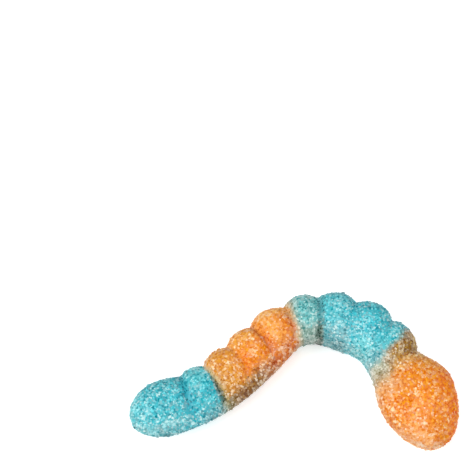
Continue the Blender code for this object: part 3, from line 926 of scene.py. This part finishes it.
sucrose = bpy.data.materials.new("sucrose_crystal")
sucrose.use_nodes = True
tree = sucrose.node_tree
shader = tree.nodes["Principled BSDF"]
own_place = add_node(tree, "ShaderNodeAttribute", settings={"attribute_name": "mould_place"})
own_parts = add_node(tree, "ShaderNodeSeparateXYZ", {"Vector": own_place.outputs["Vector"]})
gel_colour = poured_colour(tree)
depth = add_node(tree, "ShaderNodeAttribute", settings={"attribute_name": "depth"})
seen_through = add_node(tree, "ShaderNodeGamma", {"Color": gel_colour, "Gamma": depth.outputs["Fac"]})
dimming = add_node(
    tree, "ShaderNodeMath",
    {0: depth.outputs["Fac"], 1: -DEPTH_DIMMING, 2: 1.0 + DEPTH_DIMMING}, {"operation": "MULTIPLY_ADD"},
)
dimmed = add_node(
    tree, "ShaderNodeVectorMath", {0: seen_through.outputs["Color"], "Scale": dimming.outputs["Value"]},
    {"operation": "SCALE"},
)
# What is frosted is white only in part, because the jelly's colour fills it too
thin_gel = add_node(tree, "ShaderNodeGamma", {"Color": gel_colour, "Gamma": TINT_DEPTH})
tinted_white = add_node(
    tree, "ShaderNodeMix",
    {"Factor": WHITE_TINT, "A": srgb(SUGAR_WHITE), "B": thin_gel.outputs["Color"]}, {"data_type": "RGBA"},
)
clumps = add_node(
    tree, "ShaderNodeTexNoise",
    {"Vector": add_node(tree, "ShaderNodeTexCoord").outputs["Object"], "Scale": 1.0 / (CLUMP_SIZE_MM * MM),
     "W": CLUMP_PATTERN, "Detail": 2.0},
    {"noise_dimensions": "4D"},
)
clumped = add_node(
    tree, "ShaderNodeMapRange",
    {"Value": clumps.outputs["Fac"], "From Min": CLUMP_NOISE[0], "From Max": CLUMP_NOISE[1],
     "To Min": CLUMP_FROST[0], "To Max": CLUMP_FROST[1]},
)
frost = add_node(
    tree, "ShaderNodeMath", {0: own_parts.outputs["Z"], 1: clumped.outputs["Result"]},
    {"operation": "MULTIPLY", "use_clamp": True},
)
frosted = add_node(
    tree, "ShaderNodeMix",
    {"Factor": frost.outputs["Value"], "A": dimmed.outputs["Vector"], "B": tinted_white.outputs["Result"]},
    {"data_type": "RGBA"},
)
tree.links.new(frosted.outputs["Result"], shader.inputs["Base Color"])
shader.inputs["Roughness"].default_value = BODY_ROUGHNESS
shader.inputs["Specular IOR Level"].default_value = 0.0
shader.inputs["IOR"].default_value = SUGAR_IOR
# Light spreads inside a crystal and leaves it on all sides, so its body is lit as the skin
# under it is, and only the gloss follows its own flat faces
way_out = add_node(tree, "ShaderNodeAttribute", settings={"attribute_name": "way_out"})
own_face = add_node(tree, "ShaderNodeNewGeometry")
softened = add_node(
    tree, "ShaderNodeMix",
    {"Factor": OWN_FACE_SHARE, "A": way_out.outputs["Vector"], "B": own_face.outputs["Normal"]},
    {"data_type": "VECTOR"},
)
even_way = add_node(
    tree, "ShaderNodeVectorMath", {0: softened.outputs["Result"]}, {"operation": "NORMALIZE"},
)
tree.links.new(even_way.outputs["Vector"], shader.inputs["Normal"])
tree.links.new(own_face.outputs["True Normal"], shader.inputs["Coat Normal"])
shader.inputs["Coat Weight"].default_value = GLOSS
shader.inputs["Coat Roughness"].default_value = GLOSS_ROUGHNESS
shader.inputs["Coat IOR"].default_value = SUGAR_IOR
shader.inputs["Sheen Weight"].default_value = SHEEN
shader.inputs["Sheen Roughness"].default_value = SHEEN_ROUGHNESS
sucrose.cycles.use_bump_map_correction = False
for name, _, _, _ in KINDS:
    sugar = bpy.data.objects[name]
    sugar.data.materials.append(sucrose)
    # The crystals let light through to the jelly, so they throw no shadow on it
    sugar.visible_shadow = False
    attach(sugar, "root")


# THE STAGE
# A plain white laminate table top in a white room, lit by three round softboxes and seen
# steeply from above. It is matt, and so brightly lit that it shows nearly white all over.
FLOOR_SIZE_M = 0.8
FLOOR_WHITE = "f3f3f3"
FLOOR_ROUGHNESS = 0.6
# The glow stands in for the light that a larger white room would throw on the table
FLOOR_GLOW = 0.35
CAMERA_AIM_MM = (-11.77, 32.42, 0.0)
CAMERA_ELEVATION_DEG = 68.0
CAMERA_DISTANCE_MM = 408.0
CAMERA_LENS_MM = 150.0
SENSOR_MM = 36.0
WORLD_STRENGTH = 0.4
SOFTBOXES = [
    # name, place in m, width in m, watts
    ("softbox_left", (-0.42, -0.05, 0.36), 0.32, 1.7),
    ("softbox_top", (-0.05, -0.12, 0.6), 0.4, 1.8),
    ("softbox_right", (0.45, -0.1, 0.3), 0.3, 0.9),
]

bpy.ops.object.select_all(action="DESELECT")
bpy.ops.mesh.primitive_plane_add(size=FLOOR_SIZE_M, location=(0.0, 0.0, 0.0))
table_top = bpy.context.object
table_top.name = "table_top"
laminate = bpy.data.materials.new("white_laminate")
laminate.use_nodes = True
shader = laminate.node_tree.nodes["Principled BSDF"]
shader.inputs["Base Color"].default_value = srgb(FLOOR_WHITE)
shader.inputs["Roughness"].default_value = FLOOR_ROUGHNESS
shader.inputs["Emission Color"].default_value = (1.0, 1.0, 1.0, 1.0)
shader.inputs["Emission Strength"].default_value = FLOOR_GLOW
table_top.data.materials.append(laminate)

world = bpy.data.worlds.new("studio")
world.use_nodes = True
room_light = world.node_tree.nodes["Background"]
room_light.inputs["Color"].default_value = (1.0, 1.0, 1.0, 1.0)
room_light.inputs["Strength"].default_value = WORLD_STRENGTH
bpy.context.scene.world = world

for name, place, size, watts in SOFTBOXES:
    bpy.ops.object.light_add(type="AREA", location=place)
    softbox = bpy.context.object
    softbox.name = name
    softbox.data.shape = "DISK"
    softbox.data.size = size
    softbox.data.energy = watts
    softbox.rotation_euler = (-Vector(place)).to_track_quat("-Z", "Y").to_euler()

elevation = math.radians(CAMERA_ELEVATION_DEG)
bpy.ops.object.camera_add(
    location=(
        CAMERA_AIM_MM[0] * MM,
        (CAMERA_AIM_MM[1] - CAMERA_DISTANCE_MM * math.cos(elevation)) * MM,
        CAMERA_DISTANCE_MM * math.sin(elevation) * MM,
    ),
    rotation=(math.pi / 2.0 - elevation, 0.0, 0.0),
)
camera = bpy.context.object
camera.data.lens = CAMERA_LENS_MM
camera.data.sensor_width = SENSOR_MM
camera.data.clip_start = 0.01
camera.data.clip_end = 10.0
bpy.context.scene.camera = camera
bpy.context.scene.view_settings.view_transform = "Standard"
bpy.context.scene.view_settings.look = "None"
